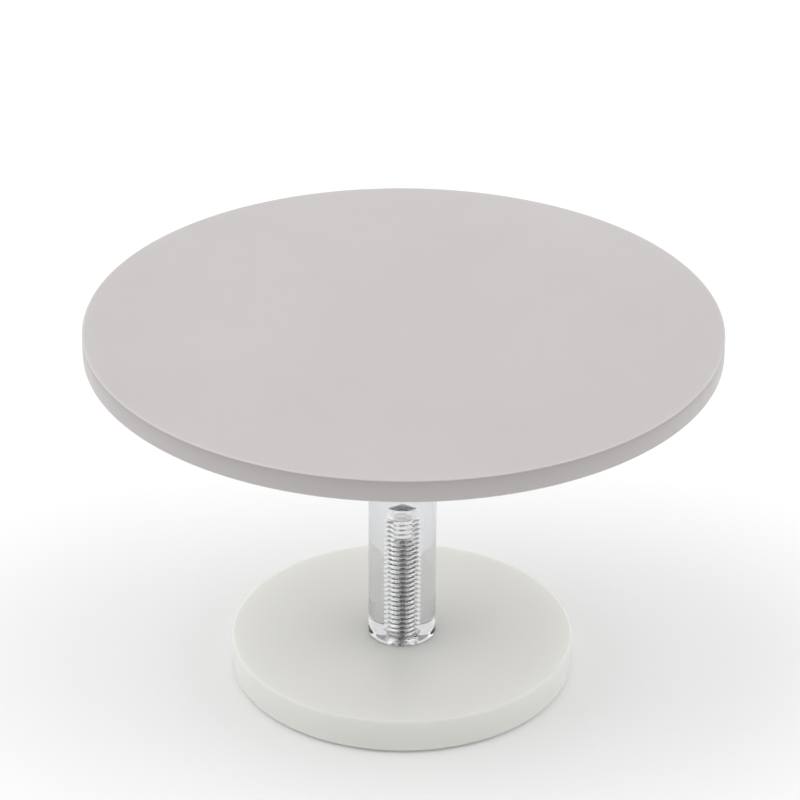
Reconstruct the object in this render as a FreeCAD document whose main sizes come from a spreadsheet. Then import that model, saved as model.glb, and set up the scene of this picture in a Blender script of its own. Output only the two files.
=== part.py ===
import FreeCAD, Part
import math
import os

import Sketcher
from FreeCAD import Placement, Rotation, Vector

# Cake turntable. A frosted acrylic plate turns on a sealed ball bearing at the top of a clear acrylic column.
# The column stands on a frosted acrylic base disc, and a countersunk screw holds it from below.
# +Z is up. The origin is on the turning axis, at the level of the surface that the feet stand on.
# Threads are plain cylinders at their major diameter, with a small clearance in their holes.

# Driving dimensions in millimetres: the alias of the sheet's cell, its number, and what it is.
DIMENSIONS = [
    ("plate_diameter", 300.0, "frosted plate that carries the cake"),
    ("plate_thickness", 11.2, "frosted plate"),
    ("disc_edge_round", 0.8, "rounded edges of the plate and the base"),
    ("base_diameter", 165.6, "frosted base disc"),
    ("base_thickness", 16.4, "frosted base disc"),
    ("foot_diameter", 14.0, "silicone foot"),
    ("foot_height", 2.0, "silicone foot, with the part in its recess"),
    ("foot_recess", 0.5, "depth of the recess that a foot is stuck in"),
    ("foot_circle_radius", 68.0, "from the axis to a foot"),
    ("foot_edge_chamfer", 0.4, "lower edge of a foot"),
    ("column_diameter", 32.8, "clear rod"),
    ("column_length", 135.0, "clear rod"),
    ("column_edge_chamfer", 0.5, "outer edges of the rod's ends"),
    ("thread_diameter", 11.0, "major diameter of the screw and the spindle"),
    ("thread_clearance", 0.1, "added to the diameter of a threaded hole"),
    ("thread_mouth_chamfer", 0.8, "countersink at the mouth of a threaded hole"),
    ("tap_drill_diameter", 8.5, "drilled hole before tapping"),
    ("lower_thread_depth", 67.0, "threaded length up from the rod's foot"),
    ("lower_hole_depth", 71.5, "drilled length up from the rod's foot"),
    ("upper_thread_depth", 33.0, "threaded length down from the rod's top"),
    ("upper_hole_depth", 38.0, "drilled length down from the rod's top"),
    ("screw_grip", 55.2, "length of the base screw inside the rod"),
    ("screw_head_diameter", 24.0, "countersunk head"),
    ("screw_head_land", 0.6, "cylindrical edge of the countersunk head"),
    ("screw_head_sink", 0.4, "from the base's underside to the head"),
    ("screw_hole_diameter", 11.6, "clearance hole in the base"),
    ("screw_end_chamfer", 1.0, "tip of the base screw and of the spindle's thread"),
    ("screw_socket_width", 8.0, "hexagon socket across flats"),
    ("screw_socket_depth", 4.2, "hexagon socket"),
    ("washer_diameter", 30.0, "nylon washer between rod and spindle"),
    ("washer_hole_diameter", 11.4, "nylon washer"),
    ("washer_thickness", 1.0, "nylon washer"),
    ("spindle_thread_length", 28.0, "spindle inside the rod and the washer"),
    ("collar_width", 24.0, "spindle's hexagon collar across flats"),
    ("collar_height", 4.5, "spindle's hexagon collar"),
    ("collar_chamfer", 0.7, "height of the bevel on the collar's corners"),
    ("shoulder_diameter", 16.0, "seat of the bearing's inner race"),
    ("shoulder_height", 2.5, "seat of the bearing's inner race"),
    ("groove_width", 1.1, "retaining ring's groove"),
    ("groove_diameter", 11.5, "retaining ring's groove"),
    ("spindle_end", 1.2, "spindle above the groove"),
    ("spindle_end_chamfer", 0.5, "top of the spindle"),
    ("ring_thickness", 1.0, "retaining ring"),
    ("ring_outer_diameter", 16.4, "retaining ring, without its lugs"),
    ("ring_offset", 0.4, "retaining ring's outside off its bore, thickest opposite the gap"),
    ("ring_gap", 2.4, "retaining ring's opening"),
    ("ring_lug_diameter", 3.4, "retaining ring's lug"),
    ("ring_lug_hole", 1.5, "hole for the pliers"),
    ("ring_lug_spread", 3.1, "from the gap's middle to a lug's hole"),
    ("ring_lug_reach", 7.9, "from the axis to a lug's hole, along the gap"),
    ("bearing_bore", 12.0, "ball bearing, inner race"),
    ("bearing_outside", 32.0, "ball bearing, outer race"),
    ("bearing_width", 10.0, "ball bearing"),
    ("bearing_chamfer", 0.5, "corners of the races"),
    ("ball_diameter", 5.953, "bearing ball"),
    ("ball_clearance", 0.12, "between a ball and each race"),
    ("ball_circle_radius", 11.0, "from the axis to a ball's centre"),
    ("ball_groove_radius", 3.1, "section of the races' grooves"),
    ("inner_land_diameter", 18.3, "inner race beside its groove"),
    ("outer_land_diameter", 25.8, "outer race beside its groove"),
    ("seal_seat_diameter", 27.2, "step in the outer race that holds a seal"),
    ("seal_seat_depth", 1.3, "step in the outer race that holds a seal"),
    ("seal_thickness", 0.8, "bearing seal"),
    ("seal_sink", 0.2, "from a race's face to its seal"),
    ("seal_gap", 0.3, "between a seal's lip and the inner race"),
    ("cage_inner_diameter", 20.0, "nylon ball cage"),
    ("cage_outer_diameter", 24.0, "nylon ball cage"),
    ("cage_bottom", 3.6, "cage's prongs above the bearing's lower face"),
    ("cage_top", 8.6, "cage's ring above the bearing's lower face"),
    ("cage_pocket_radius", 3.12, "pocket that holds a ball"),
    ("hub_diameter", 84.0, "clear boss under the plate"),
    ("hub_web", 4.0, "boss between the bearing and the plate"),
    ("hub_edge_round", 2.5, "lower edge of the boss"),
    ("hub_relief_diameter", 26.0, "room above the inner race"),
    ("hub_relief_depth", 3.0, "room above the inner race"),
    ("bearing_pocket_gap", 0.06, "added to the diameter of the bearing's pocket"),
    ("retainer_diameter", 58.0, "steel ring under the bearing"),
    ("retainer_bore", 26.0, "steel ring under the bearing"),
    ("retainer_thickness", 1.5, "steel ring under the bearing"),
    ("retainer_edge_round", 0.3, "edges of the steel ring"),
    ("retainer_screw_circle", 22.5, "from the axis to a retainer screw"),
    ("retainer_hole_diameter", 4.5, "clearance hole for a retainer screw"),
    ("small_thread_diameter", 4.0, "retainer screw"),
    ("small_thread_clearance", 0.06, "added to the diameter of its hole"),
    ("small_screw_length", 8.0, "retainer screw below its head"),
    ("small_hole_depth", 8.5, "hole in the boss for a retainer screw"),
    ("small_head_diameter", 7.6, "button head"),
    ("small_head_height", 2.2, "button head"),
    ("small_head_flat", 3.8, "flat top of the button head"),
    ("small_socket_width", 2.5, "hexagon socket across flats"),
    ("small_socket_depth", 1.3, "hexagon socket"),
    ("small_end_chamfer", 0.5, "tip of a retainer screw"),
]
FOOT_COUNT = 4
BALL_COUNT = 7
RETAINER_SCREW_COUNT = 4
FIRST_FOOT_DEGREES = 45.0
HEXAGON_SIDES = 6
# A hexagon's circumradius over its width across flats.
HEXAGON_CORNER = 1 / math.sqrt(3)
# The height of the cone that a 118 degree drill leaves, over the drill's diameter.
DRILL_TIP = 0.5 / math.tan(math.radians(118 / 2))
# A button head's dome as shares of the head's height: how far it bulges out, and where it bends.
DOME_BULGE = 0.25
DOME_SHOULDER = 0.3
DOME_EDGE = 0.8
# Points with a smaller coordinate than this lie on the sketch's axis.
ON_AXIS = 1e-9
SHEET = "sizes"


class Size:
    """A length that knows both its number and the sheet expression that gives it."""

    def __init__(self, value, text):
        self.value = value
        self.text = text

    def joined(self, other, sign, result):
        text = other.text if isinstance(other, Size) else repr(other)
        return Size(result, f"({self.text} {sign} {text})")

    def __add__(self, other):
        return self.joined(other, "+", self.value + number(other))

    def __sub__(self, other):
        return self.joined(other, "-", self.value - number(other))

    def __mul__(self, other):
        return self.joined(other, "*", self.value * number(other))

    def __truediv__(self, other):
        return self.joined(other, "/", self.value / number(other))


class Sizes:
    """The driving dimensions by name, each a Size bound to its cell of the sheet."""

    def __init__(self):
        for alias, value, _ in DIMENSIONS:
            setattr(self, alias, Size(value, f"{SHEET}.{alias}"))


def number(size):
    return size.value if isinstance(size, Size) else size


def bind(thing, **properties):
    """Sets each property from its Size, as an expression of the sheet's cells."""
    for name, size in properties.items():
        thing.setExpression(name.replace("__", "."), size.text)


def make_sheet(doc):
    sheet = doc.addObject("Spreadsheet::Sheet", SHEET)
    for row, (alias, value, note) in enumerate(DIMENSIONS, start=1):
        sheet.set(f"A{row}", alias)
        sheet.set(f"B{row}", str(value))
        sheet.setAlias(f"B{row}", alias)
        sheet.set(f"C{row}", note)
    doc.recompute()


def new_body(doc, label):
    body = doc.addObject("PartDesign::Body", label)
    body.Label = label
    return body


def origin_feature(body, role):
    return next(f for f in body.Origin.OriginFeatures if f.Role == role)


def attach(feature, body, role):
    feature.AttachmentSupport = [(origin_feature(body, role), "")]
    feature.MapMode = "FlatFace"


def place_point(sketch, geometry, end, x, y):
    """Binds one point of the sketch to its two sizes, measured from the origin."""
    for kind, axis, size in (("DistanceX", -2, x), ("DistanceY", -1, y)):
        if abs(number(size)) < ON_AXIS:
            sketch.addConstraint(Sketcher.Constraint("PointOnObject", geometry, end, axis))
            continue
        index = sketch.addConstraint(Sketcher.Constraint(kind, -1, 1, geometry, end, size.value))
        sketch.setExpression(f"Constraints[{index}]", size.text)


def polygon_sketch(body, name, corners, role="XZ_Plane"):
    """A closed outline of straight lines through the corners, each a pair of sizes."""
    sketch = body.newObject("Sketcher::SketchObject", name)
    attach(sketch, body, role)
    points = [Vector(number(x), number(y), 0) for x, y in corners]
    count = len(points)
    for i in range(count):
        sketch.addGeometry(Part.LineSegment(points[i], points[(i + 1) % count]), False)
    for i in range(count):
        sketch.addConstraint(Sketcher.Constraint("Coincident", i, 2, (i + 1) % count, 1))
    for i, (x, y) in enumerate(corners):
        place_point(sketch, i, 1, x, y)
    return sketch


def circle_sketch(body, name, circles, role="XY_Plane"):
    """Circles given as (centre x, centre y, diameter)."""
    sketch = body.newObject("Sketcher::SketchObject", name)
    attach(sketch, body, role)
    for i, (x, y, diameter) in enumerate(circles):
        centre = Vector(number(x), number(y), 0)
        sketch.addGeometry(Part.Circle(centre, Vector(0, 0, 1), diameter.value / 2), False)
        if abs(number(x)) < ON_AXIS and abs(number(y)) < ON_AXIS:
            sketch.addConstraint(Sketcher.Constraint("Coincident", i, 3, -1, 1))
        else:
            place_point(sketch, i, 3, x, y)
        index = sketch.addConstraint(Sketcher.Constraint("Diameter", i, diameter.value))
        sketch.setExpression(f"Constraints[{index}]", diameter.text)
    return sketch


def revolve(body, name, corners):
    """Turns the outline of (radius, height) corners round the body's Z axis."""
    sketch = polygon_sketch(body, name + "_outline", corners)
    feature = body.newObject("PartDesign::Revolution", name)
    feature.Profile = sketch
    feature.ReferenceAxis = (sketch, ["V_Axis"])
    feature.Angle = 360
    return feature


def groove(body, name, corners):
    """Cuts the turned outline of (radius, height) corners out of the body."""
    sketch = polygon_sketch(body, name + "_outline", corners)
    feature = body.newObject("PartDesign::Groove", name)
    feature.Profile = sketch
    feature.ReferenceAxis = (sketch, ["V_Axis"])
    feature.Angle = 360
    return feature


def pad(body, name, circles, height):
    feature = body.newObject("PartDesign::Pad", name)
    feature.Profile = circle_sketch(body, name + "_outline", circles)
    bind(feature, Length=height)
    return feature


def blind_holes(body, name, centre_x, centre_y, diameter, depth, count):
    """Holes up from the body's lower face, spaced evenly round its axis."""
    hole = body.newObject("PartDesign::Pocket", name)
    hole.Profile = circle_sketch(body, name + "_outline", [(centre_x, centre_y, diameter)])
    hole.Reversed = True
    bind(hole, Length=depth)
    return repeat_round(body, hole, count)


def repeat_round(body, feature, count):
    pattern = body.newObject("PartDesign::PolarPattern", feature.Name + "_pattern")
    pattern.Originals = [feature]
    pattern.Axis = (origin_feature(body, "Z_Axis"), [""])
    pattern.Angle = 360
    pattern.Occurrences = count
    body.Tip = pattern
    return pattern


def hexagon_prism(body, kind, name, width, height, bottom=None):
    """Adds or cuts a hexagonal prism on the body's axis, standing on its lower face or at bottom."""
    prism = body.newObject(f"PartDesign::{kind}Prism", name)
    attach(prism, body, "XY_Plane")
    prism.Polygon = HEXAGON_SIDES
    bind(prism, Circumradius=width * HEXAGON_CORNER, Height=height)
    if bottom is not None:
        bind(prism, AttachmentOffset__Base__z=bottom)
    return prism


def round_edges(doc, body, feature, name, radius, wanted):
    """Fillets the feature's circular edges at the wanted (radius, height) pairs."""
    doc.recompute()
    names = []
    for index, edge in enumerate(feature.Shape.Edges, start=1):
        if not isinstance(edge.Curve, Part.Circle):
            continue
        for edge_radius, height in wanted:
            same_radius = abs(edge.Curve.Radius - number(edge_radius)) < 1e-4
            if same_radius and abs(edge.Curve.Center.z - number(height)) < 1e-4:
                names.append(f"Edge{index}")
    if len(names) != len(wanted):
        raise RuntimeError(f"{body.Label}: {len(names)} edges to round and not {len(wanted)}")
    fillet = body.newObject("PartDesign::Fillet", name)
    fillet.Base = (feature, names)
    bind(fillet, Radius=radius)
    body.Tip = fillet
    return fillet


def on_circle(radius, degrees):
    """The x and y sizes of a point on a circle round the axis."""
    angle = math.radians(degrees)
    return radius * math.cos(angle), radius * math.sin(angle)


def make_base(doc, s, bottom):
    body = new_body(doc, "base_disc")
    radius = s.base_diameter / 2
    hole = s.screw_hole_diameter / 2
    countersink = s.screw_head_diameter / 2 + s.screw_head_sink + s.screw_head_land
    disc = revolve(body, "base_turned", [
        (countersink, 0),
        (radius, 0),
        (radius, s.base_thickness),
        (hole, s.base_thickness),
        (hole, countersink - hole),
    ])
    edges = [(radius, 0), (radius, s.base_thickness)]
    round_edges(doc, body, disc, "base_rounding", s.disc_edge_round, edges)
    x, y = on_circle(s.foot_circle_radius, FIRST_FOOT_DEGREES)
    blind_holes(body, "foot_recess", x, y, s.foot_diameter, s.foot_recess, FOOT_COUNT)
    bind(body, Placement__Base__z=bottom)
    return [body]


def make_feet(doc, s):
    feet = []
    for i in range(FOOT_COUNT):
        body = new_body(doc, f"foot_{i + 1}")
        radius = s.foot_diameter / 2
        revolve(body, f"foot_{i + 1}_turned", [
            (0, 0),
            (radius - s.foot_edge_chamfer, 0),
            (radius, s.foot_edge_chamfer),
            (radius, s.foot_height),
            (0, s.foot_height),
        ])
        x, y = on_circle(s.foot_circle_radius, FIRST_FOOT_DEGREES + i * 360 / FOOT_COUNT)
        bind(body, Placement__Base__x=x, Placement__Base__y=y)
        feet.append(body)
    return feet


def make_base_screw(doc, s, bottom):
    body = new_body(doc, "base_screw")
    shank = s.thread_diameter / 2
    head = s.screw_head_diameter / 2
    length = s.base_thickness - s.screw_head_sink + s.screw_grip
    revolve(body, "base_screw_turned", [
        (0, 0),
        (head, 0),
        (head, s.screw_head_land),
        (shank, s.screw_head_land + head - shank),
        (shank, length - s.screw_end_chamfer),
        (shank - s.screw_end_chamfer, length),
        (0, length),
    ])
    hexagon_prism(body, "Subtractive", "base_screw_socket", s.screw_socket_width,
                  s.screw_socket_depth)
    bind(body, Placement__Base__z=bottom + s.screw_head_sink)
    return [body]


def make_column(doc, s, bottom):
    body = new_body(doc, "column_rod")
    radius = s.column_diameter / 2
    chamfer = s.column_edge_chamfer
    thread = (s.thread_diameter + s.thread_clearance) / 2
    mouth = thread + s.thread_mouth_chamfer
    drill = s.tap_drill_diameter / 2
    tip = s.tap_drill_diameter * DRILL_TIP
    top = s.column_length
    revolve(body, "column_turned", [
        (mouth, 0),
        (radius - chamfer, 0),
        (radius, chamfer),
        (radius, top - chamfer),
        (radius - chamfer, top),
        (mouth, top),
        (thread, top - s.thread_mouth_chamfer),
        (thread, top - s.upper_thread_depth),
        (drill, top - s.upper_thread_depth),
        (drill, top - s.upper_hole_depth),
        (0, top - s.upper_hole_depth - tip),
        (0, s.lower_hole_depth + tip),
        (drill, s.lower_hole_depth),
        (drill, s.lower_thread_depth),
        (thread, s.lower_thread_depth),
        (thread, s.thread_mouth_chamfer),
    ])
    bind(body, Placement__Base__z=bottom)
    return [body]


def ring(body, name, inner, outer, height):
    """A plain turned ring between two radii, standing on the body's lower face."""
    return revolve(body, name, [(inner, 0), (outer, 0), (outer, height), (inner, height)])


def make_washer(doc, s, bottom):
    body = new_body(doc, "spindle_washer")
    ring(body, "washer_turned", s.washer_hole_diameter / 2, s.washer_diameter / 2,
         s.washer_thickness)
    bind(body, Placement__Base__z=bottom)
    return [body]


def make_spindle(doc, s, collar_bottom):
    body = new_body(doc, "pivot_spindle")
    thread = s.thread_diameter / 2
    journal = s.bearing_bore / 2
    shoulder = s.shoulder_diameter / 2
    start = s.spindle_thread_length
    seat = start + s.collar_height + s.shoulder_height
    groove_start = seat + s.bearing_width
    groove_end = groove_start + s.groove_width
    end = groove_end + s.spindle_end
    revolve(body, "spindle_turned", [
        (0, 0),
        (thread - s.screw_end_chamfer, 0),
        (thread, s.screw_end_chamfer),
        (thread, start),
        (shoulder, start),
        (shoulder, seat),
        (journal, seat),
        (journal, groove_start),
        (s.groove_diameter / 2, groove_start),
        (s.groove_diameter / 2, groove_end),
        (journal, groove_end),
        (journal, end - s.spindle_end_chamfer),
        (journal - s.spindle_end_chamfer, end),
        (0, end),
    ])
    hexagon_prism(body, "Additive", "spindle_collar", s.collar_width, s.collar_height, start)
    flat = s.collar_width / 2
    corner = s.collar_width * HEXAGON_CORNER
    collar_top = start + s.collar_height
    groove(body, "collar_top_bevel", [
        (flat, collar_top),
        (corner + s.collar_chamfer, collar_top),
        (corner + s.collar_chamfer, collar_top - s.collar_chamfer - s.collar_chamfer),
    ])
    groove(body, "collar_lower_bevel", [
        (flat, start),
        (corner + s.collar_chamfer, start),
        (corner + s.collar_chamfer, start + s.collar_chamfer + s.collar_chamfer),
    ])
    bind(body, Placement__Base__z=collar_bottom - s.spindle_thread_length)
    return [body]


def cylinder(doc, name, radius, height, x=None, y=None):
    solid = doc.addObject("Part::Cylinder", name)
    bind(solid, Radius=radius, Height=height)
    if x is not None:
        bind(solid, Placement__Base__x=x)
    if y is not None:
        bind(solid, Placement__Base__y=y)
    return solid


def cut(doc, name, base, tool):
    result = doc.addObject("Part::Cut", name)
    result.Base = base
    result.Tool = tool
    return result


def fuse(doc, name, solids):
    result = doc.addObject("Part::MultiFuse", name)
    result.Shapes = solids
    return result


def make_retaining_ring(doc, s, bottom):
    """An external retaining ring: an eccentric band, open in front, with two lugs for pliers."""
    height = s.ring_thickness
    outside = cylinder(doc, "ring_outside", s.ring_outer_diameter / 2, height, y=s.ring_offset)
    lugs = []
    lug_holes = []
    for side, name in ((1.0, "right"), (-1.0, "left")):
        x = s.ring_lug_spread * side
        y = s.ring_lug_reach * -1.0
        lugs.append(cylinder(doc, f"ring_lug_{name}", s.ring_lug_diameter / 2, height, x, y))
        lug_holes.append(cylinder(doc, f"ring_eye_{name}", s.ring_lug_hole / 2, height, x, y))
    gap = doc.addObject("Part::Box", "ring_gap_box")
    bind(gap, Length=s.ring_gap, Width=s.ring_outer_diameter, Height=height)
    bind(gap, Placement__Base__x=s.ring_gap * -0.5, Placement__Base__y=s.ring_outer_diameter * -1.0)
    bore = cylinder(doc, "ring_bore", s.groove_diameter / 2, height)
    band = fuse(doc, "ring_band", [outside, *lugs])
    openings = fuse(doc, "ring_openings", [bore, gap, *lug_holes])
    result = cut(doc, "retaining_ring", band, openings)
    result.Label = "retaining_ring"
    bind(result, Placement__Base__z=bottom)
    return [result]


def ball_track(body, name, s, centre_radius):
    """Cuts the balls' track, a torus round the axis at half the bearing's width."""
    track = body.newObject("PartDesign::SubtractiveTorus", name)
    attach(track, body, "XY_Plane")
    bind(track, Radius1=centre_radius, Radius2=s.ball_groove_radius,
         AttachmentOffset__Base__z=s.bearing_width / 2)
    return track


def make_inner_race(doc, s, bottom):
    body = new_body(doc, "bearing_inner_race")
    bore = s.bearing_bore / 2
    land = s.inner_land_diameter / 2
    chamfer = s.bearing_chamfer
    width = s.bearing_width
    revolve(body, "inner_race_turned", [
        (bore + chamfer, 0),
        (land, 0),
        (land, width),
        (bore + chamfer, width),
        (bore, width - chamfer),
        (bore, chamfer),
    ])
    floor = s.ball_circle_radius - s.ball_diameter / 2 - s.ball_clearance
    ball_track(body, "inner_track", s, floor + s.ball_groove_radius)
    bind(body, Placement__Base__z=bottom)
    return [body]


def make_outer_race(doc, s, bottom):
    body = new_body(doc, "bearing_outer_race")
    outside = s.bearing_outside / 2
    land = s.outer_land_diameter / 2
    seat = s.seal_seat_diameter / 2
    step = s.seal_seat_depth
    chamfer = s.bearing_chamfer
    width = s.bearing_width
    revolve(body, "outer_race_turned", [
        (seat, 0),
        (outside - chamfer, 0),
        (outside, chamfer),
        (outside, width - chamfer),
        (outside - chamfer, width),
        (seat, width),
        (seat, width - step),
        (land, width - step),
        (land, step),
        (seat, step),
    ])
    floor = s.ball_circle_radius + s.ball_diameter / 2 + s.ball_clearance
    ball_track(body, "outer_track", s, floor - s.ball_groove_radius)
    bind(body, Placement__Base__z=bottom)
    return [body]


def make_seals(doc, s, bottom):
    seals = []
    lower = bottom + s.seal_sink
    upper = bottom + s.bearing_width - s.seal_sink - s.seal_thickness
    for label, height in (("bearing_seal_lower", lower), ("bearing_seal_upper", upper)):
        body = new_body(doc, label)
        lip = s.inner_land_diameter / 2 + s.seal_gap
        ring(body, label + "_turned", lip, s.seal_seat_diameter / 2, s.seal_thickness)
        bind(body, Placement__Base__z=height)
        seals.append(body)
    return seals


def make_balls(doc, s, bottom):
    balls = []
    for i in range(BALL_COUNT):
        ball = doc.addObject("Part::Sphere", f"bearing_ball_{i + 1}")
        ball.Label = f"bearing_ball_{i + 1}"
        x, y = on_circle(s.ball_circle_radius, i * 360 / BALL_COUNT)
        bind(ball, Radius=s.ball_diameter / 2, Placement__Base__x=x, Placement__Base__y=y,
             Placement__Base__z=bottom + s.bearing_width / 2)
        balls.append(ball)
    return balls


def make_cage(doc, s, bottom):
    """A snap-in nylon crown: a ring above the balls with prongs between them."""
    body = new_body(doc, "ball_cage")
    inner = s.cage_inner_diameter / 2
    outer = s.cage_outer_diameter / 2
    revolve(body, "cage_turned", [
        (inner, s.cage_bottom),
        (outer, s.cage_bottom),
        (outer, s.cage_top),
        (inner, s.cage_top),
    ])
    pocket = body.newObject("PartDesign::SubtractiveSphere", "ball_pocket")
    attach(pocket, body, "XY_Plane")
    bind(pocket, Radius=s.cage_pocket_radius, AttachmentOffset__Base__x=s.ball_circle_radius,
         AttachmentOffset__Base__z=s.bearing_width / 2)
    repeat_round(body, pocket, BALL_COUNT)
    bind(body, Placement__Base__z=bottom)
    return [body]


def make_hub(doc, s, bottom):
    body = new_body(doc, "hub_boss")
    radius = s.hub_diameter / 2
    pocket = (s.bearing_outside + s.bearing_pocket_gap) / 2
    relief = s.hub_relief_diameter / 2
    top = s.bearing_width + s.hub_web
    relief_top = s.bearing_width + s.hub_relief_depth
    boss = revolve(body, "hub_turned", [
        (pocket, 0),
        (radius, 0),
        (radius, top),
        (0, top),
        (0, relief_top),
        (relief, relief_top),
        (relief, s.bearing_width),
        (pocket, s.bearing_width),
    ])
    round_edges(doc, body, boss, "hub_rounding", s.hub_edge_round, [(radius, 0)])
    x, y = on_circle(s.retainer_screw_circle, 0)
    hole = s.small_thread_diameter + s.small_thread_clearance
    blind_holes(body, "hub_screw_hole", x, y, hole, s.small_hole_depth, RETAINER_SCREW_COUNT)
    bind(body, Placement__Base__z=bottom)
    return [body]


def make_retainer(doc, s, bottom):
    body = new_body(doc, "bearing_retainer")
    inner = s.retainer_bore / 2
    outer = s.retainer_diameter / 2
    height = s.retainer_thickness
    plate = ring(body, "retainer_turned", inner, outer, height)
    edges = [(outer, 0), (outer, height), (inner, 0), (inner, height)]
    round_edges(doc, body, plate, "retainer_rounding", s.retainer_edge_round, edges)
    x, y = on_circle(s.retainer_screw_circle, 0)
    blind_holes(body, "retainer_hole", x, y, s.retainer_hole_diameter, height,
                RETAINER_SCREW_COUNT)
    bind(body, Placement__Base__z=bottom)
    return [body]


def make_retainer_screws(doc, s, seat):
    """Button-head screws, head down, with the head's flat side against the retainer at seat."""
    screws = []
    for i in range(RETAINER_SCREW_COUNT):
        label = f"retainer_screw_{i + 1}"
        body = new_body(doc, label)
        head = s.small_head_diameter / 2
        flat = s.small_head_flat / 2
        shank = s.small_thread_diameter / 2
        crown = (head + flat) / 2
        length = s.small_head_height + s.small_screw_length
        revolve(body, label + "_turned", [
            (0, 0),
            (flat, 0),
            (crown + s.small_head_height * DOME_BULGE, s.small_head_height * DOME_SHOULDER),
            (head, s.small_head_height * DOME_EDGE),
            (head, s.small_head_height),
            (shank, s.small_head_height),
            (shank, length - s.small_end_chamfer),
            (shank - s.small_end_chamfer, length),
            (0, length),
        ])
        hexagon_prism(body, "Subtractive", label + "_socket", s.small_socket_width,
                      s.small_socket_depth)
        x, y = on_circle(s.retainer_screw_circle, i * 360 / RETAINER_SCREW_COUNT)
        bind(body, Placement__Base__x=x, Placement__Base__y=y,
             Placement__Base__z=seat - s.small_head_height)
        screws.append(body)
    return screws


def make_plate(doc, s, bottom):
    body = new_body(doc, "turntable_plate")
    radius = s.plate_diameter / 2
    disc = pad(body, "plate_pad", [(0, 0, s.plate_diameter)], s.plate_thickness)
    edges = [(radius, 0), (radius, s.plate_thickness)]
    round_edges(doc, body, disc, "plate_rounding", s.disc_edge_round, edges)
    bind(body, Placement__Base__z=bottom)
    return [body]


def build(doc):
    """Builds every sub-part, stacked up the axis from the feet to the plate."""
    make_sheet(doc)
    s = Sizes()
    base_bottom = s.foot_height - s.foot_recess
    column_bottom = base_bottom + s.base_thickness
    washer_bottom = column_bottom + s.column_length
    collar_bottom = washer_bottom + s.washer_thickness
    bearing_bottom = collar_bottom + s.collar_height + s.shoulder_height
    ring_bottom = bearing_bottom + s.bearing_width
    retainer_bottom = bearing_bottom - s.retainer_thickness
    plate_bottom = bearing_bottom + s.bearing_width + s.hub_web
    parts = []
    parts += make_base(doc, s, base_bottom)
    parts += make_feet(doc, s)
    parts += make_base_screw(doc, s, base_bottom)
    parts += make_column(doc, s, column_bottom)
    parts += make_washer(doc, s, washer_bottom)
    parts += make_spindle(doc, s, collar_bottom)
    parts += make_retaining_ring(doc, s, ring_bottom)
    parts += make_inner_race(doc, s, bearing_bottom)
    parts += make_outer_race(doc, s, bearing_bottom)
    parts += make_seals(doc, s, bearing_bottom)
    parts += make_balls(doc, s, bearing_bottom)
    parts += make_cage(doc, s, bearing_bottom)
    parts += make_hub(doc, s, bearing_bottom)
    parts += make_retainer(doc, s, retainer_bottom)
    parts += make_retainer_screws(doc, s, retainer_bottom)
    parts += make_plate(doc, s, plate_bottom)
    doc.recompute()
    return parts


def check(doc, parts):
    """Stops if anything failed to build, or if a sub-part isn't one valid solid."""
    for thing in doc.Objects:
        if "Invalid" in thing.State or "Error" in thing.State:
            raise RuntimeError(f"{thing.Label} failed: {thing.State}")
    for part in parts:
        shape = part.Shape
        if shape.isNull() or not shape.isValid() or len(shape.Solids) != 1:
            raise RuntimeError(f"{part.Label} isn't one valid solid")


def main():
    doc = FreeCAD.newDocument("cake_turntable")
    parts = build(doc)
    check(doc, parts)
    os.makedirs("parts", exist_ok=True)
    for part in parts:
        part.Shape.exportStep(f"parts/{part.Label}.step")
        box = part.Shape.BoundBox
        print(f"{part.Label:22s} {part.Shape.Volume:12.2f} mm3  z {box.ZMin:8.3f} to {box.ZMax:8.3f}")


main()
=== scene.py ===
"""The looks of the cake turntable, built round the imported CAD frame.

Lengths are in metres, unless their name ends in _MM.
"""
import math

import bmesh
import bpy
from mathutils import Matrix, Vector


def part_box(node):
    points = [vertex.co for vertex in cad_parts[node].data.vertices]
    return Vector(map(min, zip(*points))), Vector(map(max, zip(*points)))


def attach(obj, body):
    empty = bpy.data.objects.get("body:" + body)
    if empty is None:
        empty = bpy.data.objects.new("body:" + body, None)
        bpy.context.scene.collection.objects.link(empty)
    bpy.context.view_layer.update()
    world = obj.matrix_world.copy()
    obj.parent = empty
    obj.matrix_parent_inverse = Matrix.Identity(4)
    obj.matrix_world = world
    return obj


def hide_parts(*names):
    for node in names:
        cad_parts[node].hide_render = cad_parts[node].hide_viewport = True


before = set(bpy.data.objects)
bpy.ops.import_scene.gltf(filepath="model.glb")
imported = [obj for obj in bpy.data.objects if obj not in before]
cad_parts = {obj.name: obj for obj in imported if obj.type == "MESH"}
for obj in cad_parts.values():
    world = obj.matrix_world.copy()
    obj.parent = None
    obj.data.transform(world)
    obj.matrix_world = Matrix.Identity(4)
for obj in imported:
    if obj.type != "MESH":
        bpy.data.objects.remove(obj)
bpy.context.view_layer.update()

MM = 0.001

# A long lens looks from 28 degrees above, aimed a little left of the axis.
CAMERA_LENS_MM = 162.2
CAMERA_SENSOR_MM = 36.0
CAMERA_DISTANCE = 1.704
CAMERA_ELEVATION = math.radians(28.2)
CAMERA_ROLL = math.radians(0.3)
CAMERA_AIM = Vector((-0.0015, 0.0, 0.1450))

# How finely round pieces are turned.
RIM_SEGMENTS = 256
BORE_SEGMENTS = 96
FILLET_STEPS = 6
SHARP_ANGLE = math.radians(32)
# Points closer than this are one point.
MERGE_DISTANCE = 1e-7
# Pieces that touch in CAD keep this thin film of air or glue between their faces.
FILM = 0.02 * MM

# The rounded edges of the discs and of the column.
DISC_EDGE = 0.9 * MM
COLUMN_EDGE = 0.5 * MM

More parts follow.
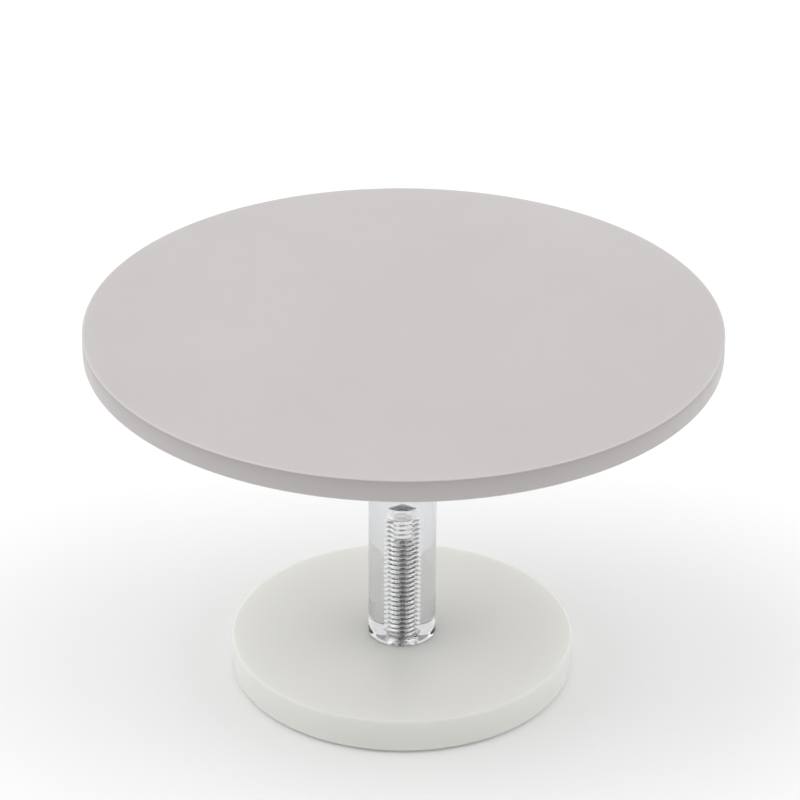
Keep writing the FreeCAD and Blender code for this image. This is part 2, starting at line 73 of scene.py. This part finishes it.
# The coarse thread of the screws and of the holes that they run in, with a little air between them.
THREAD_RADIUS = 5.55 * MM
THREAD_PITCH = 2.55 * MM
THREAD_DEPTH = 1.17 * MM
THREAD_AIR = 0.06 * MM
# Where a flank of the thread's tooth starts and ends, as parts of a pitch from the middle of its root.
FLANK_START = 0.035
FLANK_END = 0.465
# Each corner of the tooth is a small bevel, with rows of points close beside it that keep the flanks flat.
TOOTH_CORNERS = (FLANK_START, FLANK_END, 1 - FLANK_END, 1 - FLANK_START)
CORNER_OFFSETS = (-0.03, -0.015, 0.015, 0.03)

# The column's blind holes, each from its own end: how deep its thread and its drilled hole go.
HOLE_MOUTH = 0.8 * MM
DRILL_HALF_ANGLE = math.radians(59)
LOWER_THREAD_DEPTH = 67.0 * MM
LOWER_DRILL_DEPTH = 71.5 * MM
UPPER_THREAD_DEPTH = 33.0 * MM
UPPER_DRILL_DEPTH = 38.0 * MM

# The base's hole for its screw, and the screw's countersunk head, tip and hexagon socket.
BASE_HOLE_RADIUS = 5.8 * MM
BASE_HOLE_EDGE = 0.3 * MM
COUNTERSINK_RADIUS = 13.0 * MM
HEAD_RADIUS = 12.0 * MM
HEAD_LAND = 0.6 * MM
HEAD_BEVEL = 0.15 * MM
SCREW_THREAD_BELOW_BASE_TOP = 2.0 * MM
SCREW_THREAD_FADE = 0.8 * MM
SCREW_TIP = 0.6 * MM
SOCKET_WIDTH = 8.0 * MM
SOCKET_DEPTH = 4.2 * MM

# The spindle, from its threaded tip up to its journal. The collar is a hexagon with turned corners.
SPINDLE_TIP = 0.4 * MM
SPINDLE_PLAIN = 1.0 * MM
SHOULDER_RADIUS = 8.0 * MM
SHOULDER_HEIGHT = 2.5 * MM
JOURNAL_RADIUS = 6.0 * MM
JOURNAL_BEVEL = 0.5 * MM
GROOVE_RADIUS = 5.75 * MM
GROOVE_WIDTH = 1.1 * MM
COLLAR_WIDTH = 24.0 * MM
COLLAR_SLOPE = 0.6
# How far a shape that cuts or joins another reaches past its faces, for a clean cut or joint.
TOOL_REACH = 1.0 * MM

# Acrylic's refraction and a thick piece's tint, and how deep light goes into frosted and moulded skins.
ACRYLIC_IOR = 1.49
ACRYLIC_TINT = (0.42, 0.46, 0.50, 1.0)
ROD_DENSITY = 13.0
HUB_DENSITY = 3.0
FROST_DEPTH = 6 * MM
MOULDED_DEPTH = 2 * MM
# How high the fine grain of frosted, moulded and turned skins stands.
GRAIN_HEIGHT = 0.02 * MM
LATHE_HEIGHT = 0.01 * MM

FLOOR_HALF_SIZE = 6.0
FLOOR_COLOUR = (0.80, 0.80, 0.80, 1.0)
FLOOR_GLOW = 0.08
WHITE = (1.0, 1.0, 1.0, 1.0)

# The studio's walls, and the windows of light or of dark in them: direction, inner and outer half
# angle in degrees, and the brightness added.
WALL_BRIGHTNESS = 0.90
STUDIO_WINDOWS = (
    ((-1.0, -0.1, 1.6), 12, 34, 1.3),
    ((1.0, -0.1, 1.6), 12, 34, 0.9),
    ((-1.0, 0.0, 0.3), 20, 45, 0.35),
    ((1.0, 0.0, 0.3), 20, 45, 0.35),
    ((0.0, -1.0, 0.3), 14, 34, -0.84),
)
# Painted shade and highlight in the discs' colour: how their tone changes from the foot of the wall, at 0,
# to its top, at 1, all painted shade, and over the rounded rims, from upright, at 0, to level, at 1, a
# painted highlight on the plate's rim and painted shade on the base's rim.
PLATE_WALL_SHADE = [(0.02, 0.86), (0.14, 0.96), (0.5, 0.95), (0.8, 0.86), (0.97, 0.74)]
BASE_WALL_SHADE = [(0.0, 0.87), (0.1, 0.89), (0.9, 0.89), (1.0, 0.91)]
PLATE_RIM_HIGHLIGHT = [(0.45, 1.06), (0.85, 1.06), (0.99, 1.0)]
BASE_RIM_SHADE = [(0.45, 0.88), (0.85, 0.92), (0.99, 1.0)]


# Materials


def new_material(name):
    """A node material with its Principled shader."""
    material = bpy.data.materials.new(name)
    material.use_nodes = True
    nodes = material.node_tree.nodes
    return material, nodes, material.node_tree.links, nodes["Principled BSDF"]


def noise(nodes, links, scale, detail=3.0):
    """A noise texture in object space, where one unit is a metre."""
    place = nodes.new("ShaderNodeTexCoord")
    texture = nodes.new("ShaderNodeTexNoise")
    texture.inputs["Scale"].default_value = scale
    texture.inputs["Detail"].default_value = detail
    texture.inputs["Roughness"].default_value = 0.55
    links.new(place.outputs["Object"], texture.inputs["Vector"])
    return texture


def ramp(nodes, links, source, stops):
    """A colour ramp through (position, colour) stops."""
    node = nodes.new("ShaderNodeValToRGB")
    elements = node.color_ramp.elements
    while len(elements) < len(stops):
        elements.new(0.5)
    for element, (position, colour) in zip(elements, stops):
        element.position = position
        element.color = (*colour, 1.0)
    links.new(source, node.inputs["Fac"])
    return node


def spread(nodes, links, source, low, high):
    """Maps a texture's 0.3 to 0.7 onto low to high."""
    node = nodes.new("ShaderNodeMapRange")
    node.inputs["From Min"].default_value = 0.3
    node.inputs["From Max"].default_value = 0.7
    node.inputs["To Min"].default_value = low
    node.inputs["To Max"].default_value = high
    links.new(source, node.inputs["Value"])
    return node


def bump(nodes, links, shader, source, height, strength):
    """Gives the shader a relief from a texture."""
    node = nodes.new("ShaderNodeBump")
    node.inputs["Distance"].default_value = height
    node.inputs["Strength"].default_value = strength
    links.new(source, node.inputs["Height"])
    links.new(node.outputs["Normal"], shader.inputs["Normal"])


def height_of(nodes, links, coordinates):
    """The Z part of a vector."""
    parts = nodes.new("ShaderNodeSeparateXYZ")
    links.new(coordinates, parts.inputs["Vector"])
    return parts.outputs["Z"]


def grey_ramp(nodes, links, source, stops):
    """A ramp through (position, grey) stops."""
    return ramp(nodes, links, source, [(position, (grey, grey, grey)) for position, grey in stops])


def mix_colours(nodes, links, blend, factor, first, second):
    """Blends two colours, each a socket or a plain colour."""
    node = nodes.new("ShaderNodeMix")
    node.data_type = "RGBA"
    node.blend_type = blend
    pairs = ((factor, "Factor_Float"), (first, "A_Color"), (second, "B_Color"))
    for value, identifier in pairs:
        socket = next(s for s in node.inputs if s.identifier == identifier)
        if isinstance(value, bpy.types.NodeSocket):
            links.new(value, socket)
        else:
            socket.default_value = value
    return next(s for s in node.outputs if s.identifier == "Result_Color")


def painted_edge_shading(nodes, links, low, high, wall_shade, rim_shading):
    """A factor of painted shade and highlight for a disc's colour: 1 on its flat faces, with the rim's and
    wall's painted stops at its edge.
    """
    place = nodes.new("ShaderNodeTexCoord")
    level = nodes.new("ShaderNodeMapRange")
    level.inputs["From Min"].default_value = low
    level.inputs["From Max"].default_value = high
    links.new(height_of(nodes, links, place.outputs["Object"]), level.inputs["Value"])
    painted_wall_shade = grey_ramp(nodes, links, level.outputs["Result"], wall_shade)
    levelness = nodes.new("ShaderNodeMath")
    levelness.operation = "ABSOLUTE"
    links.new(height_of(nodes, links, place.outputs["Normal"]), levelness.inputs[0])
    past_wall = grey_ramp(nodes, links, levelness.outputs["Value"], [(0.15, 0.0), (0.45, 1.0)])
    painted_rim_shading = grey_ramp(nodes, links, levelness.outputs["Value"], rim_shading)
    return mix_colours(nodes, links, "MIX", past_wall.outputs["Color"], painted_wall_shade.outputs["Color"],
                       painted_rim_shading.outputs["Color"])


def satin_acrylic(name, colour, shade, roughness, node, wall_shade, rim_shading):
    """Frosted acrylic: light goes a little way in, the skin has a fine blasted grain, and the edges carry
    painted shade and highlight.
    """
    material, nodes, links, shader = new_material(name)
    cloud = noise(nodes, links, scale=9.0, detail=2.0)
    tone = ramp(nodes, links, cloud.outputs["Fac"], [(0.35, shade), (0.65, colour)])
    low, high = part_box(node)
    # The edges' painted shade and highlight, multiplied into the colour.
    edge = painted_edge_shading(nodes, links, low.z, high.z, wall_shade, rim_shading)
    toned = mix_colours(nodes, links, "MULTIPLY", 1.0, tone.outputs["Color"], edge)
    links.new(toned, shader.inputs["Base Color"])
    smear = noise(nodes, links, scale=60.0, detail=4.0)
    rough = spread(nodes, links, smear.outputs["Fac"], roughness * 0.9, roughness * 1.1)
    links.new(rough.outputs["Result"], shader.inputs["Roughness"])
    grain = noise(nodes, links, scale=2600.0, detail=2.0)
    bump(nodes, links, shader, grain.outputs["Fac"], GRAIN_HEIGHT, 0.25)
    shader.inputs["IOR"].default_value = ACRYLIC_IOR
    shader.inputs["Subsurface Weight"].default_value = 0.4
    shader.inputs["Subsurface Radius"].default_value = (1.0, 1.0, 1.0)
    shader.inputs["Subsurface Scale"].default_value = FROST_DEPTH
    return material


def clear_acrylic(name, depth_density):
    """Polished clear acrylic, faintly grey where it is thick. depth_density is per metre."""
    material, nodes, links, shader = new_material(name)
    shader.inputs["Base Color"].default_value = WHITE
    shader.inputs["Roughness"].default_value = 0.0
    shader.inputs["IOR"].default_value = ACRYLIC_IOR
    shader.inputs["Transmission Weight"].default_value = 1.0
    depth = nodes.new("ShaderNodeVolumeAbsorption")
    depth.inputs["Color"].default_value = ACRYLIC_TINT
    depth.inputs["Density"].default_value = depth_density
    links.new(depth.outputs["Volume"], nodes["Material Output"].inputs["Volume"])
    return material


def metal(name, colour, roughness, lathe_lines=0.0):
    """Turned or ground metal. lathe_lines is the strength of fine rings round the axis."""
    material, nodes, links, shader = new_material(name)
    shader.inputs["Metallic"].default_value = 1.0
    cloud = noise(nodes, links, scale=400.0)
    dark = tuple(c * 0.88 for c in colour)
    tone = ramp(nodes, links, cloud.outputs["Fac"], [(0.3, dark), (0.7, colour)])
    links.new(tone.outputs["Color"], shader.inputs["Base Color"])
    smear = noise(nodes, links, scale=900.0)
    rough = spread(nodes, links, smear.outputs["Fac"], roughness * 0.8, roughness * 1.25)
    links.new(rough.outputs["Result"], shader.inputs["Roughness"])
    if lathe_lines:
        place = nodes.new("ShaderNodeTexCoord")
        rings = nodes.new("ShaderNodeTexWave")
        rings.wave_type = "RINGS"
        rings.rings_direction = "Z"
        rings.inputs["Scale"].default_value = 900.0
        rings.inputs["Distortion"].default_value = 0.6
        links.new(place.outputs["Object"], rings.inputs["Vector"])
        bump(nodes, links, shader, rings.outputs["Fac"], LATHE_HEIGHT, lathe_lines)
    return material


def moulded(name, colour, roughness, translucency=0.0):
    """Moulded plastic or rubber with a fine, slightly uneven skin."""
    material, nodes, links, shader = new_material(name)
    cloud = noise(nodes, links, scale=300.0)
    dark = tuple(c * 0.85 for c in colour)
    tone = ramp(nodes, links, cloud.outputs["Fac"], [(0.3, dark), (0.7, colour)])
    links.new(tone.outputs["Color"], shader.inputs["Base Color"])
    skin = noise(nodes, links, scale=1800.0)
    rough = spread(nodes, links, skin.outputs["Fac"], roughness * 0.85, roughness * 1.15)
    links.new(rough.outputs["Result"], shader.inputs["Roughness"])
    bump(nodes, links, shader, skin.outputs["Fac"], GRAIN_HEIGHT, 0.3)
    if translucency:
        shader.inputs["Subsurface Weight"].default_value = translucency
        shader.inputs["Subsurface Radius"].default_value = (1.0, 1.0, 1.0)
        shader.inputs["Subsurface Scale"].default_value = MOULDED_DEPTH
    return material


def make_materials():
    return {
        # The discs' wall and rim stops paint shade and highlight into their colour.
        "plate": satin_acrylic("satin_acrylic_plate", (0.48, 0.457, 0.45), (0.462, 0.44, 0.434),
                               0.38, "turntable_plate", PLATE_WALL_SHADE, PLATE_RIM_HIGHLIGHT),
        "base": satin_acrylic("satin_acrylic_base", (0.84, 0.84, 0.80), (0.825, 0.825, 0.785),
                              0.2, "base_disc", BASE_WALL_SHADE, BASE_RIM_SHADE),
        "rod": clear_acrylic("clear_acrylic_rod", ROD_DENSITY),
        "hub": clear_acrylic("clear_acrylic_hub", HUB_DENSITY),
        "screw": metal("screw_steel", (0.78, 0.78, 0.77), 0.28),
        "turned": metal("turned_steel", (0.66, 0.65, 0.63), 0.22, 0.3),
        "ground": metal("ground_bearing_steel", (0.70, 0.70, 0.71), 0.1),
        "dark": metal("phosphated_steel", (0.10, 0.10, 0.11), 0.4),
        "natural_nylon": moulded("natural_nylon", (0.80, 0.74, 0.58), 0.45, 0.2),
        "white_nylon": moulded("white_nylon", (0.85, 0.85, 0.83), 0.4, 0.2),
        "rubber": moulded("nitrile_rubber", (0.02, 0.02, 0.022), 0.6),
        "silicone": moulded("silicone", (0.62, 0.63, 0.62), 0.35, 0.5),
    }


# Turned shapes


def filleted(corners):
    """The outline through (radius, height, fillet radius) corners, with an arc at each rounded one."""
    points = []
    count = len(corners)
    for i, (r, z, size) in enumerate(corners):
        here = Vector((r, z))
        if size <= 0:
            points.append((r, z))
            continue
        before = (Vector(corners[i - 1][:2]) - here).normalized()
        after = (Vector(corners[(i + 1) % count][:2]) - here).normalized()
        half = before.angle(after) / 2
        centre = here + (before + after).normalized() * (size / math.sin(half))
        start = here + before * (size / math.tan(half)) - centre
        sweep = math.pi - 2 * half
        turn = -1 if before.cross(after) > 0 else 1
        base = math.atan2(start.y, start.x)
        for step in range(FILLET_STEPS + 1):
            angle = base + turn * sweep * step / FILLET_STEPS
            points.append((centre.x + size * math.cos(angle), centre.y + size * math.sin(angle)))
    return points


def flat_row(radius, height, segments):
    """A level ring of points, which may be the same point when the radius is 0."""
    row = []
    for i in range(segments):
        angle = 2 * math.pi * i / segments
        row.append((radius * math.cos(angle), radius * math.sin(angle), height))
    return row


def tooth(phase):
    """A thread's section over one pitch: 0 along its root and 1 along its crest, with straight flanks."""
    from_root = abs(phase - round(phase))
    rise = (from_root - FLANK_START) / (FLANK_END - FLANK_START)
    return min(1.0, max(0.0, rise))


class Thread:
    """A helical thread round the axis between two heights.

    Within the height fade of both ends it runs out into the radius end.
    """

    def __init__(self, start, stop, major, end, fade):
        self.low = min(start, stop)
        self.high = max(start, stop)
        self.rising = stop > start
        self.major = major
        self.end = end
        self.fade = fade

    def point(self, turn, height):
        """The thread's surface at a turn round the axis, in whole turns, and a height."""
        held = min(self.high, max(self.low, height))
        full = self.major - THREAD_DEPTH * (1 - tooth(height / THREAD_PITCH - turn))
        inset = min(held - self.low, self.high - held)
        blend = min(1.0, inset / self.fade)
        blend = blend * blend * (3 - 2 * blend)
        radius = self.end + (full - self.end) * blend
        angle = 2 * math.pi * turn
        return (radius * math.cos(angle), radius * math.sin(angle), held)

    def columns(self, segments):
        """Columns of points up the thread that climb one pitch as they go round once."""
        first = math.floor(self.low / THREAD_PITCH) - 1
        last = math.ceil(self.high / THREAD_PITCH) + 1
        steps = []
        for pitch in range(first, last):
            for corner in TOOTH_CORNERS:
                steps += [pitch + corner + offset for offset in CORNER_OFFSETS]
        result = []
        for i in range(segments + 1):
            turn = i / segments
            result.append([self.point(turn, (step + turn) * THREAD_PITCH) for step in steps])
        return result


def add_object(name, bm):
    """Turns the mesh being built into an object of the scene."""
    mesh = bpy.data.meshes.new(name)
    bm.to_mesh(mesh)
    bm.free()
    piece = bpy.data.objects.new(name, mesh)
    bpy.context.scene.collection.objects.link(piece)
    return piece


def shade_smooth(mesh):
    """Shades the mesh smooth, apart from its sharp corners."""
    for polygon in mesh.polygons:
        polygon.use_smooth = True
    mesh.set_sharp_from_angle(angle=SHARP_ANGLE)


def turned(name, outline, segments, body, material, replaces=()):
    """A closed turned piece. The outline's items are (radius, height) points and Threads, in order."""
    bm = bmesh.new()
    ends = []
    for item in outline:
        if isinstance(item, Thread):
            ends.append(thread_faces(bm, item, segments))
        else:
            ring = [bm.verts.new(p) for p in flat_row(*item, segments)]
            ends.append((ring, ring))
    pairs = list(zip(ends, ends[1:]))
    on_axis = outline[0][0] == 0 and outline[-1][0] == 0
    if not on_axis:
        pairs.append((ends[-1], ends[0]))
    for (_, upper), (lower, _) in pairs:
        for i in range(segments):
            k = (i + 1) % segments
            bm.faces.new((upper[i], upper[k], lower[k], lower[i]))
    return finish_mesh(name, bm, body, material, replaces)


def thread_faces(bm, thread, segments):
    """Adds the thread's faces and returns its first and last rings in the outline's order."""
    columns = thread.columns(segments)
    verts = [[bm.verts.new(p) for p in column] for column in columns]
    for left, right in zip(verts, verts[1:]):
        for j in range(len(left) - 1):
            bm.faces.new((left[j], right[j], right[j + 1], left[j + 1]))
    low = [column[0] for column in verts[:-1]]
    high = [column[-1] for column in verts[:-1]]
    return (low, high) if thread.rising else (high, low)


def finish_mesh(name, bm, body, material, replaces):
    """Cleans the mesh and makes it a piece that rides on a body, in place of the CAD nodes it replaces."""
    bmesh.ops.remove_doubles(bm, verts=bm.verts, dist=MERGE_DISTANCE)
    bmesh.ops.dissolve_degenerate(bm, edges=bm.edges, dist=MERGE_DISTANCE)
    loose = [edge for edge in bm.edges if not edge.link_faces]
    bmesh.ops.delete(bm, geom=loose, context="EDGES")
    bmesh.ops.recalc_face_normals(bm, faces=bm.faces)
    piece = add_object(name, bm)
    shade_smooth(piece.data)
    piece.data.materials.append(material)
    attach(piece, body)
    if replaces:
        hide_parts(*replaces)
    return piece


def hexagon_corner(width):
    """A hexagon's radius at its corners, from its width across flats."""
    return width / 2 / math.cos(math.pi / 6)


def hexagon(name, width, low, high):
    """A hexagonal tool on the axis, for cutting or joining."""
    bm = bmesh.new()
    corner = hexagon_corner(width)
    lower = [bm.verts.new(p) for p in flat_row(corner, low, 6)]
    upper = [bm.verts.new(p) for p in flat_row(corner, high, 6)]
    bm.faces.new(lower[::-1])
    bm.faces.new(upper)
    for i in range(6):
        k = (i + 1) % 6
        bm.faces.new((lower[i], lower[k], upper[k], upper[i]))
    return add_object(name, bm)


def combine(piece, tool, operation):
    """Applies a boolean of the piece with the tool, and removes the tool."""
    modifier = piece.modifiers.new(operation, "BOOLEAN")
    modifier.operation = operation
    modifier.solver = "EXACT"
    modifier.object = tool
    graph = bpy.context.evaluated_depsgraph_get()
    mesh = bpy.data.meshes.new_from_object(piece.evaluated_get(graph))
    piece.modifiers.clear()
    old = piece.data
    piece.data = mesh
    mesh.name = old.name
    bpy.data.meshes.remove(old)
    shade_smooth(mesh)
    bpy.data.objects.remove(tool)
    return piece


# The pieces


def make_plate(materials):
    low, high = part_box("turntable_plate")
    foot = low.z + FILM
    outline = filleted([
        (0, foot, 0),
        (high.x, foot, DISC_EDGE),
        (high.x, high.z, DISC_EDGE),
        (0, high.z, 0),
    ])
    return turned("plate", outline, RIM_SEGMENTS, "turntable", materials["plate"], ["turntable_plate"])


def make_base(materials):
    low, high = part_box("base_disc")
    outline = filleted([
        (BASE_HOLE_RADIUS, low.z + COUNTERSINK_RADIUS - BASE_HOLE_RADIUS, 0),
        (COUNTERSINK_RADIUS, low.z, 0),
        (high.x, low.z, DISC_EDGE),
        (high.x, high.z, DISC_EDGE),
        (BASE_HOLE_RADIUS, high.z, BASE_HOLE_EDGE),
    ])
    return turned("base", outline, RIM_SEGMENTS, "stand", materials["base"], ["base_disc"])


def make_column(materials):
    low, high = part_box("column_rod")
    foot = low.z + FILM
    top = high.z
    radius = high.x
    drill = THREAD_RADIUS - THREAD_DEPTH
    tip = drill / math.tan(DRILL_HALF_ANGLE)
    lower_end = low.z + LOWER_THREAD_DEPTH
    lower_floor = low.z + LOWER_DRILL_DEPTH
    upper_end = top - UPPER_THREAD_DEPTH
    upper_floor = top - UPPER_DRILL_DEPTH
    outline = [
        (0, lower_floor + tip),
        (drill, lower_floor),
        (drill, lower_end),
        Thread(lower_end, foot + HOLE_MOUTH, THREAD_RADIUS, drill, THREAD_PITCH),
        (THREAD_RADIUS + HOLE_MOUTH, foot),
        (radius - COLUMN_EDGE, foot),
        (radius, foot + COLUMN_EDGE),
        (radius, top - COLUMN_EDGE),
        (radius - COLUMN_EDGE, top),
        (THREAD_RADIUS + HOLE_MOUTH, top),
        Thread(top - HOLE_MOUTH, upper_end, THREAD_RADIUS, drill, THREAD_PITCH),
        (drill, upper_end),
        (drill, upper_floor),
        (0, upper_floor - tip),
    ]
    return turned("column", outline, RIM_SEGMENTS, "stand", materials["rod"], ["column_rod"])


def make_base_screw(materials):
    low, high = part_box("base_screw")
    shank = THREAD_RADIUS - THREAD_AIR
    root = shank - THREAD_DEPTH
    neck = low.z + HEAD_LAND + HEAD_RADIUS - shank
    thread_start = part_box("base_disc")[1].z - SCREW_THREAD_BELOW_BASE_TOP
    outline = [
        (0, low.z),
        (HEAD_RADIUS - HEAD_BEVEL, low.z),
        (HEAD_RADIUS, low.z + HEAD_BEVEL),
        (HEAD_RADIUS, low.z + HEAD_LAND),
        (shank, neck),
        (shank, thread_start),
        Thread(thread_start, high.z - SCREW_TIP, shank, root, SCREW_THREAD_FADE),
        (root - SCREW_TIP, high.z),
        (0, high.z),
    ]
    screw = turned("screw", outline, BORE_SEGMENTS, "stand", materials["screw"], ["base_screw"])
    socket = hexagon("socket", SOCKET_WIDTH, low.z - TOOL_REACH, low.z + SOCKET_DEPTH)
    return combine(screw, socket, "DIFFERENCE")


def make_spindle(materials):
    low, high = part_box("pivot_spindle")
    rod_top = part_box("column_rod")[1].z
    collar_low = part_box("spindle_washer")[1].z
    bearing_low, bearing_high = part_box("bearing_inner_race")
    collar_high = bearing_low.z - SHOULDER_HEIGHT
    inside_collar = collar_low + TOOL_REACH
    shank = THREAD_RADIUS - THREAD_AIR
    root = shank - THREAD_DEPTH
    groove_high = bearing_high.z + GROOVE_WIDTH
    outline = [
        (0, low.z),
        (root - SPINDLE_TIP, low.z),
        Thread(low.z + SPINDLE_TIP, rod_top - SPINDLE_PLAIN, shank, root, THREAD_PITCH),
        (shank, rod_top),
        (shank, inside_collar),
        (SHOULDER_RADIUS, inside_collar),
        (SHOULDER_RADIUS, bearing_low.z),
        (JOURNAL_RADIUS, bearing_low.z),
        (JOURNAL_RADIUS, bearing_high.z),
        (GROOVE_RADIUS, bearing_high.z),
        (GROOVE_RADIUS, groove_high),
        (JOURNAL_RADIUS, groove_high),
        (JOURNAL_RADIUS, high.z - JOURNAL_BEVEL),
        (JOURNAL_RADIUS - JOURNAL_BEVEL, high.z),
        (0, high.z),
    ]
    spindle = turned("spindle", outline, BORE_SEGMENTS, "stand", materials["turned"],
                     ["pivot_spindle"])
    collar = hexagon("collar", COLLAR_WIDTH, collar_low, collar_high)
    flat = COLLAR_WIDTH / 2
    outside = hexagon_corner(COLLAR_WIDTH) + TOOL_REACH
    slope_height = (outside - flat) * COLLAR_SLOPE
    envelope = turned("envelope", [
        (0, collar_low),
        (flat, collar_low),
        (outside, collar_low + slope_height),
        (outside, collar_high - slope_height),
        (flat, collar_high),
        (0, collar_high),
    ], BORE_SEGMENTS, "stand", materials["turned"])
    combine(collar, envelope, "INTERSECT")
    return combine(spindle, collar, "UNION")


# The material of each CAD node that stays in view, by its name or by the start of its name.
CAD_FINISHES = {
    "hub_boss": "hub",
    "bearing_retainer": "turned",
    "retaining_ring": "dark",
    "spindle_washer": "white_nylon",
    "ball_cage": "natural_nylon",
    "bearing_inner_race": "ground",
    "bearing_outer_race": "ground",
    "bearing_ball_": "ground",
    "bearing_seal_": "rubber",
    "retainer_screw_": "screw",
    "foot_": "silicone",
}


def finish_cad_nodes(materials):
    """Gives each CAD node that stays in view its material."""
    for name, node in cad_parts.items():
        for start, finish in CAD_FINISHES.items():
            if name.startswith(start):
                node.data.materials.clear()
                node.data.materials.append(materials[finish])


# The stage


def make_camera():
    camera = bpy.data.objects.new("camera", bpy.data.cameras.new("camera"))
    bpy.context.scene.collection.objects.link(camera)
    camera.data.lens = CAMERA_LENS_MM
    camera.data.sensor_width = CAMERA_SENSOR_MM
    camera.data.clip_end = 50
    back = Vector((0, -math.cos(CAMERA_ELEVATION), math.sin(CAMERA_ELEVATION)))
    camera.location = CAMERA_AIM + back * CAMERA_DISTANCE
    camera.rotation_euler = (-back).to_track_quat("-Z", "Y").to_euler()
    camera.rotation_euler.rotate_axis("Z", CAMERA_ROLL)
    bpy.context.scene.camera = camera


def make_floor():
    bm = bmesh.new()
    bmesh.ops.create_grid(bm, x_segments=1, y_segments=1, size=FLOOR_HALF_SIZE)
    floor = add_object("floor", bm)
    material, _, _, shader = new_material("floor_white")
    shader.inputs["Base Color"].default_value = FLOOR_COLOUR
    shader.inputs["Roughness"].default_value = 0.9
    shader.inputs["Specular IOR Level"].default_value = 0.1
    shader.inputs["Emission Color"].default_value = WHITE
    shader.inputs["Emission Strength"].default_value = FLOOR_GLOW
    floor.data.materials.append(material)


def add_window(nodes, links, direction, total, window):
    """Adds a soft round window of light, or of dark, to the studio's walls."""
    aim, inner, outer, brightness = window
    along = nodes.new("ShaderNodeVectorMath")
    along.operation = "DOT_PRODUCT"
    along.inputs[1].default_value = Vector(aim).normalized()
    links.new(direction, along.inputs[0])
    edge = nodes.new("ShaderNodeMapRange")
    edge.interpolation_type = "SMOOTHSTEP"
    edge.inputs["From Min"].default_value = math.cos(math.radians(outer))
    edge.inputs["From Max"].default_value = math.cos(math.radians(inner))
    edge.inputs["To Max"].default_value = brightness
    links.new(along.outputs["Value"], edge.inputs["Value"])
    added = nodes.new("ShaderNodeMath")
    links.new(total, added.inputs[0])
    links.new(edge.outputs["Result"], added.inputs[1])
    return added.outputs["Value"]


def make_light():
    """Soft studio walls round the stage, with windows of light and of dark in them."""
    world = bpy.data.worlds.new("studio")
    world.use_nodes = True
    nodes = world.node_tree.nodes
    links = world.node_tree.links
    direction = nodes.new("ShaderNodeTexCoord").outputs["Generated"]
    walls = nodes.new("ShaderNodeValue")
    walls.outputs["Value"].default_value = WALL_BRIGHTNESS
    total = walls.outputs["Value"]
    for window in STUDIO_WINDOWS:
        total = add_window(nodes, links, direction, total, window)
    links.new(total, nodes["Background"].inputs["Strength"])
    nodes["Background"].inputs["Color"].default_value = WHITE
    bpy.context.scene.world = world


def main():
    bpy.context.scene.view_settings.view_transform = "Standard"
    make_camera()
    materials = make_materials()
    make_plate(materials)
    make_base(materials)
    make_column(materials)
    make_base_screw(materials)
    make_spindle(materials)
    finish_cad_nodes(materials)
    make_floor()
    make_light()


main()
